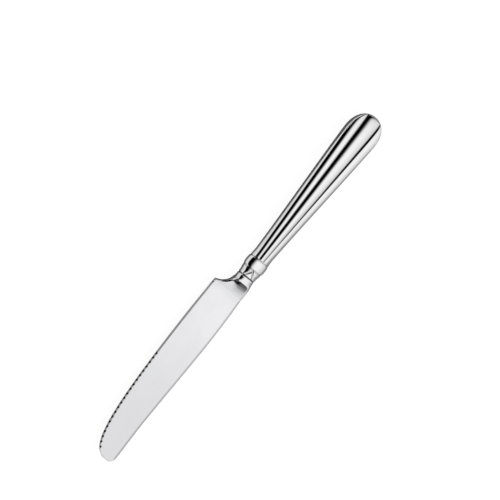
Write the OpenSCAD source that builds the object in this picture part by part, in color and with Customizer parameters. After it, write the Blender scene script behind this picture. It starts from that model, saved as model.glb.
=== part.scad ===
// Dessert knife with a serrated blade and a hollow reeded handle, lying on a table.
// It is drawn in a working frame and laid down at the end. In the working frame x runs
// from the joint of blade and handle (x = 0) to the tip, y points from the handle's axis
// to the spine, and z = 0 is the plane in which the two handle halves meet.

/* [Blade] */
// Length from the handle joint to the tip
blade_l = 111; // [95:0.5:130]
// Distance from the handle's axis to the cutting edge at the heel
edge_reach = 11.75; // [10:0.05:14]
// Distance from the handle's axis to the spine at its highest
spine_reach = 6.3; // [5.6:0.1:7.5]
// How far the spine dips between its highest point and the tip
spine_dip = 0.45; // [0:0.05:1]
// Distance from the joint to the heel of the blade
heel_x = 9.35; // [8:0.05:12]
// Radius of the heel corner
heel_r = 1.3; // [0.5:0.1:2]
// Height of the foremost point of the tip above the handle's axis
tip_y = 3.2; // [1:0.1:4.5]
// Length of the rounding between the tip and the spine
tip_round_l = 3.7; // [2:0.1:6]
// Length of the belly, where the edge sweeps up to the tip
belly_l = 5.7; // [3:0.1:12]
// Height of the belly below the tip
belly_h = 9.3; // [7:0.1:11]
// How far the pull of the edge's curve lies below the heel
edge_bow = 0.1; // [0:0.05:1]
// Thickness at the spine, next to the shoulder
spine_t = 2.5; // [1.8:0.1:3.2]
// Thickness at the cutting edge, next to the heel
edge_t = 1.2; // [0.9:0.05:1.6]
// Thickness at the tip, next to the spine
tip_t = 2; // [1.6:0.05:2.4]

/* [Serration] */
// Number of scallops ground into the front of the edge
scallops = 21; // [4:1:28]
// Distance between neighbouring scallops along the edge
scallop_pitch = 2.655; // [2.2:0.005:3.2]
// Distance along the edge from the foremost point of the tip to the first scallop
scallop_start = 8.1; // [5:0.1:12]
// Radius of the grinding wheel's rim
scallop_r = 1.35; // [0.8:0.05:1.6]
// How far a scallop reaches into the blade's face
scallop_depth = 0.95; // [0.5:0.05:1.5]
// Angle between a scallop's floor and the blade's face
scallop_rake = 26; // [20:1:40]
// Lean of the scallops towards the handle
scallop_lean = 15; // [0:1:40]

/* [Bolster] */
// Diameter of the neck at the joint
neck_d = 9.4; // [8.6:0.1:11]
// Diameter of the neck at the shoulder
collar_d = 9.7; // [9:0.1:11.2]
// Length of the neck from the joint to the shoulder
neck_l = 3.7; // [3:0.1:6]
// Length of the hollow shoulder that runs down to the blade
shoulder_l = 10.6; // [8:0.1:13]
// Where the notch behind the heel starts to leave the neck
notch_x = 2.6; // [1:0.1:3]

/* [Tang] */
// Length of the round spigot in the handle's mouth
spigot_l = 3; // [2:0.1:4]
// Length of the tang behind the joint
tang_l = 52; // [30:1:70]
// Width of the tang
tang_w = 5; // [3:0.1:5.6]
// Thickness of the tang
tang_t = 2.8; // [2:0.1:4]
// Length of the tang's tapered end
tang_point = 6; // [3:0.5:10]

/* [Handle] */
// Length from the joint to the end of the butt
handle_l = 99; // [85:0.5:115]
// Greatest width, near the butt
handle_w = 16.95; // [15:0.05:20]
// Greatest thickness, near the butt
handle_t = 10.2; // [9.4:0.1:13]
// Width of the knop, the bead next to the blade
knop_w = 11.3; // [10.6:0.1:13]
// Thickness of the knop
knop_t = 9.8; // [9.2:0.1:12]
// Distance from the joint to the middle of the knop
knop_s = 7.2; // [6:0.1:8.5]
// Length of the straight band in front of the knop
band_l = 1; // [0.5:0.1:1.5]
// Distance from the joint to the waist behind the knop
waist_s = 14; // [12.5:0.1:17]
// Width at the waist
waist_w = 10.05; // [9.2:0.05:12]
// Thickness at the waist
waist_t = 9.4; // [8.6:0.1:11]
// Length of the domed butt
dome_l = 12.3; // [9:0.1:16]
// Wall thickness of the pressed halves
wall = 0.9; // [0.6:0.05:1.1]

/* [Reeds] */
// Width of the middle reed at the waist
reed_w_waist = 2.9; // [2:0.1:4]
// Width of the middle reed where the handle is widest
reed_w_butt = 7.1; // [5:0.1:8]
// Distance from the joint to the start of the reeds
reed_s = 10.2; // [9.5:0.1:11.5]
// Depth of the creases between the reeds at the waist
crease_waist = 0.4; // [0.2:0.05:0.6]
// Depth of the creases between the reeds where the handle is widest
crease_butt = 0.6; // [0.4:0.05:0.9]

/* [Joints] */
// Thickness of the solder ring between bolster and handle
solder_t = 0.25; // [0.15:0.05:0.4]
// How far the solder ring lies below the surface
solder_recess = 0.15; // [0:0.05:0.3]
// Thickness of the brazed seam between the handle halves
seam_t = 0.12; // [0.08:0.02:0.2]
// Radial clearance of the spigot in the handle's mouth
spigot_fit = 0.06; // [0.02:0.02:0.15]

/* [Hidden] */
$fn = 64;

neck_r = neck_d / 2;
collar_r = collar_d / 2;
spigot_r = neck_r - wall - spigot_fit;
widest_s = handle_l - dome_l;
// Smallest overlap that joins two solids of one piece
merge = 0.05;

// Exponents of the rounded outlines: 2 is an ellipse, more is squarer, less is slacker
notch_power = 1.7;
dome_power = 2.15;
crown_power = 4;
// Where the spine is lowest and highest, as shares of the way from the heel to the tip
dip_share = 0.8;
crest_share = 0.3;
// Share of the handle's taper that eases in and out
taper_ease = 0.35;
// Widest share of a dome section that the middle reed takes
reed_share = 0.92;

// Steps of the blade's curves
edge_steps = 48;
spine_steps = 8;
arc_steps = 8;
// Steps round a handle section: each side reed and the middle reed
side_steps = 6;
mid_steps = 8;
// Steps along the handle: mouth, band, knop, start of the reeds, taper and dome
mouth_steps = 2;
band_steps = 4;
knop_steps = 3;
start_steps = 4;
taper_steps = 9;
dome_steps = 10;
// Step of the curve's parameter for its direction
tangent_step = 0.001;

function mix(a, b, t) = a + (b - a) * t;
function clamp01(t) = max(0, min(1, t));
function smooth(t) = t * t * (3 - 2 * t);
function ease(t) = smooth(clamp01(t));
function reversed(list) = [for (i = [len(list) - 1 : -1 : 0]) list[i]];
function superellipse(t, power) = pow(max(0, 1 - pow(t, power)), 1 / power);

// Blade outline, in the plane of the blade

edge_heel = [heel_x + heel_r, -edge_reach];
edge_ctrl = [
    edge_heel,
    [blade_l - belly_l, -edge_reach - edge_bow],
    [blade_l, tip_y - belly_h],
    [blade_l, tip_y]
];
function bezier(c, t) =
    pow(1 - t, 3) * c[0] + 3 * t * pow(1 - t, 2) * c[1] + 3 * t * t * (1 - t) * c[2] + pow(t, 3) * c[3];
edge_line = [for (i = [0 : edge_steps]) bezier(edge_ctrl, i / edge_steps)];
edge_low = min([for (p = edge_line) p[1]]);

heel_y = -edge_reach + heel_r;
notch_top = -neck_r;
notch_line = [
    for (i = [0 : arc_steps])
        let (a = 90 * (1 - i / arc_steps))
        [
            notch_x + (heel_x - notch_x) * pow(cos(a), 2 / notch_power),
            heel_y + (notch_top - heel_y) * pow(sin(a), 2 / notch_power)
        ]
];
heel_arc = [
    for (i = [1 : arc_steps - 1])
        let (a = 90 * i / arc_steps)
        [heel_x + heel_r - heel_r * cos(a), heel_y - heel_r * sin(a)]
];
tip_x = blade_l - tip_round_l;
tip_arc = [
    for (i = [1 : arc_steps])
        let (a = 90 * i / arc_steps)
        [tip_x + tip_round_l * cos(a), tip_y + (spine_reach - tip_y) * sin(a)]
];
dip_x = mix(heel_x, tip_x, dip_share);
crest_x = mix(heel_x, tip_x, crest_share);
spine_line = concat(
    [for (i = [1 : spine_steps])
        let (t = i / spine_steps)
        [mix(tip_x, dip_x, t), spine_reach - spine_dip * smooth(t)]],
    [for (i = [1 : spine_steps])
        let (t = i / spine_steps)
        [mix(dip_x, crest_x, t), spine_reach - spine_dip * smooth(1 - t)]],
    [for (i = [1 : spine_steps])
        let (t = i / spine_steps)
        [mix(crest_x, notch_x, t), mix(spine_reach, neck_r, t * t)]]
);
blade_outline = concat(notch_line, heel_arc, edge_line, tip_arc, spine_line);

// Half-thickness of the flat-ground blade, the same slope everywhere
face_ref = [neck_l + shoulder_l, spine_reach];
grind_y = (spine_t - edge_t) / 2 / (spine_reach + edge_reach);
grind_x = (spine_t - tip_t) / 2 / (tip_x - face_ref[0]);
function face_z(x, y) = spine_t / 2 - grind_x * (x - face_ref[0]) - grind_y * (face_ref[1] - y);

// Everything below the blade's front face
module below_face() {
    reach = 3 * blade_l;
    tilt_y = atan(grind_x);
    tilt_x = atan(grind_y * cos(tilt_y));
    translate([face_ref[0], face_ref[1], spine_t / 2])
        rotate([tilt_x, tilt_y, 0])
            translate([-reach / 2, -reach / 2, -reach])
                cube(reach);
}

module blade_plate() {
    intersection() {
        linear_extrude(height = 4 * spine_t, center = true) polygon(blade_outline);
        below_face();
        mirror([0, 0, 1]) below_face();
    }
}

// Length along the cutting edge, counted from the tip, against the curve's parameter
tip_first = reversed(edge_line);
function length_to(i) = i == 0 ? 0 : length_to(i - 1) + norm(tip_first[i] - tip_first[i - 1]);
edge_table = [for (i = [0 : edge_steps]) [length_to(i), 1 - i / edge_steps]];

module scallop_cuts() {
    wheel_back = 2 * scallop_depth;
    wheel_front = 4 * scallop_depth;
    for (i = [0 : scallops - 1]) {
        t = lookup(scallop_start + i * scallop_pitch, edge_table);
        here = bezier(edge_ctrl, t);
        ahead = bezier(edge_ctrl, t + tangent_step) - bezier(edge_ctrl, t - tangent_step);
        inward = atan2(ahead[1], ahead[0]) + 90 + scallop_lean;
        floor_z = face_z(here[0], here[1]) - scallop_depth * tan(scallop_rake);
        translate([here[0], here[1], floor_z + scallop_r / cos(scallop_rake)])
            rotate([0, 90 - scallop_rake, inward])
                translate([0, 0, -wheel_back])
                    cylinder(h = wheel_back + wheel_front, r = scallop_r);
    }
}

// Hollow shoulder between the neck and the blade, as wide as the blade is there
shoulder_end = neck_l + shoulder_l;
shoulder_z = spine_t / 2 - merge;
shoulder_rise = collar_r + grind_y * spine_reach - shoulder_z;
shoulder_r = (shoulder_l * shoulder_l + shoulder_rise * shoulder_rise) / 2 / shoulder_rise;
shoulder_turn = acos(1 - shoulder_rise / shoulder_r);
shoulder_line = [
    for (i = [0 : arc_steps])
        let (a = shoulder_turn * (1 - i / arc_steps))
        [shoulder_end - shoulder_r * sin(a), shoulder_z + shoulder_r * (1 - cos(a))]
];

// Everything below the shoulder's front, which slopes towards the edge as the blade's face does
module below_shoulder() {
    clear = 4 * edge_reach;
    translate([0, spine_reach, 0])
        rotate([atan(grind_y), 0, 0])
            rotate([90, 0, 0])
                linear_extrude(height = clear, center = true)
                    polygon(concat(
                        [[neck_l - merge, -clear], [neck_l - merge, shoulder_line[0][1]]],
                        shoulder_line,
                        [[shoulder_end, -clear]]
                    ));
}

// The shoulder's corners round off where they meet the neck
module shoulder() {
    intersection() {
        linear_extrude(height = 3 * collar_d, center = true) polygon(blade_outline);
        below_shoulder();
        mirror([0, 0, 1]) below_shoulder();
        rotate([0, 90, 0])
            rotate_extrude()
                polygon([
                    [0, neck_l - merge],
                    [collar_r - merge, neck_l - merge],
                    [collar_r, neck_l],
                    [2 * edge_reach, shoulder_end],
                    [0, shoulder_end]
                ]);
    }
}

neck_line = [
    for (i = [0 : arc_steps])
        let (t = i / arc_steps)
        [mix(neck_r, collar_r, t * t), neck_l * t]
];

module neck() {
    rotate([0, 90, 0])
        rotate_extrude()
            polygon(concat([[0, 0]], neck_line, [[0, neck_l]]));
}

module tang() {
    side_y = tang_w / 2;
    end_y = side_y / 2;
    translate([-spigot_l, 0, 0])
        rotate([0, 90, 0])
            cylinder(h = spigot_l + merge, r = spigot_r);
    linear_extrude(height = tang_t, center = true)
        polygon([
            [merge - spigot_l, side_y],
            [tang_point - tang_l, side_y],
            [-tang_l, end_y],
            [-tang_l, -end_y],
            [tang_point - tang_l, -side_y],
            [merge - spigot_l, -side_y]
        ]);
}

// Handle sections, at the distance s behind the joint. The inner surface of the pressed
// halves is the same section drawn in by the wall.

seam_z = seam_t / 2;
function taper(s) =
    let (t = clamp01((s - waist_s) / (widest_s - waist_s)))
    mix(t, smooth(t), taper_ease);
function half_size(s, knop, waist, widest) =
    s < knop_s ? mix(neck_d, knop, ease((s - band_l) / (knop_s - band_l))) / 2
    : s < waist_s ? mix(knop, waist, ease((s - knop_s) / (waist_s - knop_s))) / 2
    : mix(waist, widest, taper(s)) / 2;
function half_w(s) = half_size(s, knop_w, waist_w, handle_w);
function half_t(s) = half_size(s, knop_t, waist_t, handle_t);
function crease_y(s) = mix(reed_w_waist, reed_w_butt, (s - waist_s) / (widest_s - waist_s)) / 2;
function crease_d(s) =
    ease((s - reed_s) / (waist_s - reed_s)) * mix(crease_waist, crease_butt, taper(s));

// A section's arcs: half-width, half-thickness, crease, side reed's centre and radius,
// middle reed's radius
function arcs(s, inset) =
    let (
        a = half_w(s) - inset,
        b = half_t(s) - inset,
        cy = crease_y(s),
        cz = b * sqrt(1 - pow(cy / a, 2)) - crease_d(s),
        mid = (a * a - cy * cy - cz * cz) / 2 / (a - cy),
        rise = b - cz
    )
    [a, b, cy, cz, mid, a - mid, (cy * cy + rise * rise) / 2 / rise];

// Points of the front half of a section, from the spine side over the top
function section_points(c) =
    let (
        side_turn = atan2(c[3], c[2] - c[4]),
        mid_turn = asin(c[2] / c[6]),
        side = [
            for (i = [0 : side_steps])
                let (a = side_turn * i / side_steps)
                [c[4] + c[5] * cos(a), c[5] * sin(a)]
        ]
    )
    concat(
        side,
        [for (i = [1 : mid_steps - 1])
            let (a = mid_turn * (1 - 2 * i / mid_steps))
            [c[6] * sin(a), c[1] - c[6] + c[6] * cos(a)]],
        [for (p = reversed(side)) [-p[0], p[1]]]
    );

// Height of a section over a given distance from the axis
function section_height(c, y) =
    y > c[2]
        ? sqrt(max(0, c[5] * c[5] - pow(y - c[4], 2)))
        : c[1] - c[6] + sqrt(c[6] * c[6] - y * y);

// In the domed butt the creases run on, and the outline and the crown round off
function dome_points(t, s, inset) =
    let (
        c = arcs(s, inset),
        a = c[0] * superellipse(t, dome_power),
        cy = min(c[2], reed_share * a)
    )
    [
        for (p = section_points(c))
            let (
                side = abs(p[0]),
                y = side > c[2] ? cy + (side - c[2]) * (a - cy) / (c[0] - c[2]) : side * cy / c[2],
                end = superellipse(y / c[0], dome_power)
            )
            [sign(p[0]) * y, section_height(c, y) * superellipse(min(1, t / end), crown_power)]
    ];

function stations(from, to, steps) = [for (i = [0 : steps - 1]) mix(from, to, i / steps)];
body_s = concat(
    stations(solder_t, spigot_l, mouth_steps),
    stations(spigot_l, knop_s, band_steps),
    stations(knop_s, reed_s, knop_steps),
    stations(reed_s, waist_s, start_steps),
    stations(waist_s, widest_s, taper_steps),
    [widest_s]
);

function placed(s, points) = [for (p = points) [-s, p[0], max(p[1], seam_z)]];
function skin(inset) = concat(
    [for (s = body_s) placed(s, section_points(arcs(s, inset)))],
    [for (i = [1 : dome_steps - 1])
        let (
            t = sin(90 * i / dome_steps),
            s = widest_s + t * (dome_l - inset)
        )
        placed(s, dome_points(t, s, inset))]
);
function butt_end(inset) = [inset - handle_l, 0, seam_z];
function joined(rows) = [for (row = rows) each row];

outer_skin = skin(0);
inner_skin = skin(wall);
rows = len(outer_skin);
row_n = len(outer_skin[0]);

// Triangles between the rows of a grid whose first point has the number first
function grid_faces(first, count) = [
    for (i = [0 : count - 2], k = [0 : row_n - 2])
        let (p = first + i * row_n + k, q = p + row_n)
        each [[p, p + 1, q + 1], [p, q + 1, q]]
];
function fan_faces(first, apex) = [for (k = [0 : row_n - 2]) [first + k, first + k + 1, apex]];
function turned(faces) = [for (f = faces) reversed(f)];

module handle_half() {
    outer_end = rows * row_n;
    inner_first = outer_end + 1;
    inner_end = inner_first + outer_end;
    last = (rows - 1) * row_n;
    edge = row_n - 1;
    mouth = [
        for (k = [0 : row_n - 2])
            [k, inner_first + k, inner_first + k + 1, k + 1]
    ];
    seam = [
        for (i = [0 : rows - 2])
            let (p = i * row_n, q = p + row_n)
            each [
                [p, q, inner_first + q, inner_first + p],
                [q + edge, p + edge, inner_first + p + edge, inner_first + q + edge]
            ]
    ];
    butt = [
        [last, outer_end, inner_end, inner_first + last],
        [outer_end, last + edge, inner_first + last + edge, inner_end]
    ];
    polyhedron(
        points = concat(joined(outer_skin), [butt_end(0)], joined(inner_skin), [butt_end(wall)]),
        faces = concat(
            grid_faces(0, rows),
            fan_faces(last, outer_end),
            turned(grid_faces(inner_first, rows)),
            turned(fan_faces(inner_first + last, inner_end)),
            mouth,
            seam,
            butt
        )
    );
}

// The filler takes the cavity behind the spigot, both halves and the seam between them
module filler_body() {
    front = [for (i = [mouth_steps : rows - 1]) inner_skin[i]];
    loops = [for (row = front) concat(row, [for (p = reversed(row)) [p[0], p[1], -p[2]]])];
    n = 2 * row_n;
    count = len(loops);
    last = (count - 1) * n;
    end_front = count * n;
    end_back = end_front + 1;
    tip = butt_end(wall);
    around = [
        for (i = [0 : count - 2], j = [0 : n - 1])
            let (p = i * n + j, next = i * n + (j + 1) % n)
            each j < row_n
                ? [[p, next, next + n], [p, next + n, p + n]]
                : [[p, next, p + n], [next, next + n, p + n]]
    ];
    closing = concat(
        [for (k = [0 : row_n - 2]) [last + k, last + k + 1, end_front]],
        [for (k = [row_n : n - 2]) [last + k, last + k + 1, end_back]],
        [[last + row_n - 1, last + row_n, end_back, end_front]],
        [[last + n - 1, last, end_front, end_back]]
    );
    polyhedron(
        points = concat(joined(loops), [tip, [tip[0], tip[1], -tip[2]]]),
        faces = concat(around, closing, [[for (j = [n - 1 : -1 : 0]) j]])
    );
}

// Plan of the seam: the outline of one skin, from the mouth round the butt and back
function seam_line(surface, inset) = concat(
    [for (row = surface) [row[0][0], row[0][1]]],
    [[inset - handle_l, 0]],
    [for (row = reversed(surface)) [row[0][0], -row[0][1]]]
);

// The knife lies on the back of its handle, with the blade clear of the table
mid_x = (blade_l - handle_l) / 2;
mid_y = (max(handle_w / 2, spine_reach) + edge_low) / 2;
lie_z = max(handle_t, knop_t, collar_d) / 2;

module laid_down() {
    translate([-mid_x, -mid_y, lie_z])
        children();
}

module blade() {
    color("gainsboro")
        laid_down()
            difference() {
                union() {
                    blade_plate();
                    shoulder();
                    neck();
                    tang();
                }
                scallop_cuts();
            }
}

module solder_ring() {
    color("dimgray")
        laid_down()
            translate([-solder_t, 0, 0])
                rotate([0, 90, 0])
                    difference() {
                        cylinder(h = solder_t, r = neck_r - solder_recess);
                        translate([0, 0, -merge])
                            cylinder(h = solder_t + 2 * merge, r = spigot_r);
                    }
}

module handle_half_front() {
    color("silver")
        laid_down()
            handle_half();
}

module handle_half_back() {
    color("silver")
        laid_down()
            mirror([0, 0, 1])
                handle_half();
}

module seam_braze() {
    color("lightgray")
        laid_down()
            linear_extrude(height = seam_t, center = true)
                polygon(concat(seam_line(outer_skin, 0), reversed(seam_line(inner_skin, wall))));
}

module handle_filler() {
    color("tan")
        laid_down()
            difference() {
                filler_body();
                tang();
            }
}

blade();
solder_ring();
handle_half_front();
handle_half_back();
seam_braze();
handle_filler();
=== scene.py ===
import math
from types import SimpleNamespace

import bpy
import numpy as np
from mathutils import Matrix, Vector, kdtree


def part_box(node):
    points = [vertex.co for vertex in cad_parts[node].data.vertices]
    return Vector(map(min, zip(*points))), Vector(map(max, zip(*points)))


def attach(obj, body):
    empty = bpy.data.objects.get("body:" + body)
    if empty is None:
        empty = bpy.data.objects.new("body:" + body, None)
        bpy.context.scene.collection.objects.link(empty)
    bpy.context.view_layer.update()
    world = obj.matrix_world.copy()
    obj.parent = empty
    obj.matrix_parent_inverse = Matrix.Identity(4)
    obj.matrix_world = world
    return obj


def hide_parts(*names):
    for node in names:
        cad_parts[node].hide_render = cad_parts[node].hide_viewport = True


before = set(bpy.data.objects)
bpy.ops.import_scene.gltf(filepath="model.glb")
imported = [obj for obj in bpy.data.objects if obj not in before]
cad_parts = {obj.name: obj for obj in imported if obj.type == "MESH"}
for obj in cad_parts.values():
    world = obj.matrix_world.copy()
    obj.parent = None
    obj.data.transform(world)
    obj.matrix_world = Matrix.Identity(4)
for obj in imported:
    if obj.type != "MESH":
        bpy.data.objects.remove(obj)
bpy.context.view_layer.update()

# Shapes are worked out in millimetres in the knife's own frame: x runs from the joint of blade and
# handle to the tip, y from the handle's axis to the spine, z up from the seam of the handle.
# The solder ring shows where that frame lies in the scene.
MM = 0.001
ring_lo, ring_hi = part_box("solder_ring")
JOINT = np.array([ring_hi.x, (ring_lo.y + ring_hi.y) / 2, (ring_lo.z + ring_hi.z) / 2])
# Guards against dividing by nothing, rounding and overflow
TINY = 1e-6
ROUNDING = 1e-9
EXP_LIMIT = 30

# Blade: outline and thickness
BLADE_L = 111.0
EDGE_REACH = 11.745
EDGE_BOW = 0.1
SPINE_REACH = 6.3
SPINE_DIP = 0.45
TIP_Y = 3.2
TIP_ROUND_L = 3.7
TIP_X = BLADE_L - TIP_ROUND_L
BELLY_L = 5.7
BELLY_H = 9.3
SPINE_T = 2.5
EDGE_T = 1.2
TIP_T = 2.0
# The heel, and the start of the edge's curve in front of it
HEEL_X = 9.35
HEEL_L = 1.3
EDGE_X = HEEL_X + HEEL_L
# Shares of the spine's length where it is highest and where it dips most
CREST_SHARE = 0.3
DIP_SHARE = 0.8
CREST_X = HEEL_X + CREST_SHARE * (TIP_X - HEEL_X)
DIP_X = HEEL_X + DIP_SHARE * (TIP_X - HEEL_X)

# Notch: its line would end below the edge, and meets the rising edge in a soft corner on its way
NOTCH_X = 2.6
NOTCH_END = 9.8
NOTCH_BELOW = 2.0
NOTCH_POWER = 1.95
HEEL_SOFT = 0.8
HEEL_RISE = 0.3
HEEL_RISE_L = 1.2

# Borders ground along the front: how far they reach in, how deep, and 0 for flat to 1 for round
NOTCH_BORDER = (0.85, 0.5, 0.1)
HEEL_BORDER = (0.6, 0.52, 0.0)
EDGE_BORDER = (0.9, 0.25, 0.0)
TIP_BORDER = (0.6, 0.15, 0.3)
SPINE_BORDER = (1.2, 0.8, 0.2)
# Share of the half thickness that they may take
BORDER_SHARE = 0.9
# Places along the blade where they give way to each other, and the same on the edge by its height
NOTCH_TO_HEEL = (8.5, 9.2)
HEEL_TO_EDGE = (9.9, 11.2)
SPINE_TO_TIP = (TIP_X, TIP_X + 2 / 3 * TIP_ROUND_L)
EDGE_TO_TIP_Y = (-6.5, -3.0)
# Near the heel the edge's back is ground off too: how far in, how deep, and where that ends
BACK_REACH = 2.0
BACK_DEPTH = 0.55
BACK_EASE = (11.0, 32.0)

# Scallops of the cutting edge, counted from the tip
SCALLOPS = 21
SCALLOP_PITCH = 2.655
SCALLOP_START = 8.1
SCALLOP_R = 1.35
SCALLOP_DEPTH = 0.95
SCALLOP_RAKE = math.radians(26)
SCALLOP_LEAN = math.radians(15)
# Share of the back's thickness that they may reach into
EDGE_LEFT = 0.85

# Bolster, spigot and tang
NECK_R = 4.7
COLLAR_R = 4.85
NECK_L = 3.45
RIM_R = 0.55
SHOULDER_END = 14.3
FLARE_L = 1.0
FLARE_LIMIT = 4
# Beside the notch the hollow has a straight part, between these distances from its end
STRAIGHT_FROM = 4.7
STRAIGHT_TO = 8.5
STRAIGHT_Y = (0.0, -4.0)
SPIGOT_L = 3.0
SPIGOT_R = 3.74
SPIGOT_TURNS = 48
TANG_L = 52.0
TANG_W = 5.0
TANG_END_W = 2.5
TANG_T = 2.8
TANG_POINT = 6.0
# Gap that keeps the closed forms of neck, spigot and tang apart
BAR_GAP = 0.02

# Powers of the round sections: 2 is an ellipse, more is squarer
NECK_POWER = 2.2
COLLAR_POWER = 4.0
COLLAR_EASE = 4
KNOP_POWER = 1.95
KNOP_SQUARER = 0.5

# Handle
HANDLE_L = 99.0
HANDLE_W = 16.95
HANDLE_T = 10.2
MOUTH_S = 0.25
BAND_L = 1.0
KNOP_S = 7.2
KNOP_W = 11.3
KNOP_T = 9.8
WAIST_S = 14.0
WAIST_W = 10.05
WAIST_T = 9.4
DOME_L = 12.3
WIDEST_S = HANDLE_L - DOME_L
DOME_POWER = 2.15
CROWN_POWER = 4.0
TAPER_EASE = 0.35
WALL = 0.9
SEAM_Z = 0.06
SEAM_RECESS = 0.03
TO_KNOP = (BAND_L, KNOP_S)
TO_WAIST = (KNOP_S, WAIST_S)

# Reeds: their widths at the waist and at the butt, and the creases between them
REED_W_WAIST = 2.9
REED_W_BUTT = 7.1
# Most of the dome's width that the middle reed takes, and how steep that reed's sides get
REED_SHARE = 0.92
REED_SLOPE = 0.85
CREASE_START = 10.2
CREASE_FULL = 10.9
CREASE_RUN = (CREASE_START, CREASE_FULL)
CREASE_WAIST = 0.4
CREASE_BUTT = 0.6
# Side reeds, at the waist and at the butt: radius of the crest, its place beside the crease, and
# the reach of the steeper wall that goes down into the crease
CREST_R = (3.3, 5.0)
CREST_OFF = (0.06, 1.5)
WALL_REACH = (0.45, 1.0)
WALL_LEAST = 0.001
WALL_SLOPE = 0.344
WALL_SOFT = 0.15
FLANK_TILT = math.radians(38)
SIDE_LEAST = 0.15
# Painted shade in the creases: how dark towards the waist and towards the butt, and how far it reaches
CREASE_SHADE = (0.6, 0.95)
CREASE_SHADE_REACH = 0.6

# Ornament: the rings at both ends of the knop (place, width, depth) and the pointed ribbon
RINGS = ((4.55, 0.45, 0.2), (10.2, 0.36, 0.25))
# Painted shade laid in the ring grooves and the ribbon groove
RING_SHADE = 0.6
RIBBON_FROM = (0.3, 2.5)
RIBBON_TO = (4.1, 0.0)
RIBBON_W = 0.75
RIBBON_DEPTH = 0.32
RIBBON_SHADE = 0.55


def mix(a, b, t):
    return a + (b - a) * t


def smooth(t):
    return t * t * (3 - 2 * t)


def ease(t):
    return smooth(np.clip(t, 0, 1))


def between(x, limits):
    """Eases from 0 at the first limit to 1 at the second."""
    start, end = limits
    return ease((x - start) / (end - start))


def superellipse(t, power):
    return np.maximum(0, 1 - np.abs(t) ** power) ** (1 / power)


def rounded(t):
    """Quarter circle that rises from 0 at t = 0 to 1 at t = 1 and stays there."""
    return np.sqrt(np.maximum(0, 1 - (1 - np.clip(t, 0, 1)) ** 2))


def toward_start(n):
    """n steps from 0 to 1 that get shorter towards 0."""
    return 1 - np.cos(np.linspace(0, math.pi / 2, n + 1))


def toward_end(n):
    """n steps from 0 to 1 that get shorter towards 1."""
    return np.sin(np.linspace(0, math.pi / 2, n + 1))


def toward_both(n):
    """n steps from 0 to 1 that get shorter towards both ends."""
    return (1 - np.cos(np.linspace(0, math.pi, n + 1))) / 2


# Meshes

SHARP_ANGLE = math.radians(40)


def grid_faces(rows, cols, first=0, turn=False):
    """Quads of a grid of points that are numbered row by row."""
    p = first + np.arange(rows - 1)[:, None] * cols + np.arange(cols - 1)
    faces = np.stack([p, p + 1, p + 1 + cols, p + cols], -1).reshape(-1, 4)
    return (faces[:, ::-1] if turn else faces).tolist()


def strip_faces(a, b):
    """Quads between two equally long lines of point numbers."""
    return [[a[i], b[i], b[i + 1], a[i + 1]] for i in range(len(a) - 1)]


def bar(start, end, first):
    """Points and faces of a closed bar between two like outlines."""
    n = len(start)
    around = [(i, (i + 1) % n) for i in range(n)]
    faces = [[first + i, first + k, first + n + k, first + n + i] for i, k in around]
    faces += [list(range(first + n - 1, first - 1, -1)), list(range(first + n, first + 2 * n))]
    return start + end, faces


def add_piece(name, points, faces, material, node, values=None):
    mesh = bpy.data.meshes.new(name)
    mesh.from_pydata((np.asarray(points) * MM + JOINT).tolist(), [], faces)
    for key, numbers in (values or {}).items():
        mesh.attributes.new(key, "FLOAT", "POINT").data.foreach_set("value", numbers.astype(np.float32))
    mesh.validate()
    mesh.polygons.foreach_set("use_smooth", [True] * len(mesh.polygons))
    mesh.set_sharp_from_angle(angle=SHARP_ANGLE)
    mesh.materials.append(material)
    piece = bpy.data.objects.new(name, mesh)
    bpy.context.scene.collection.objects.link(piece)
    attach(piece, "root")
    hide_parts(node)


# Node materials


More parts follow.
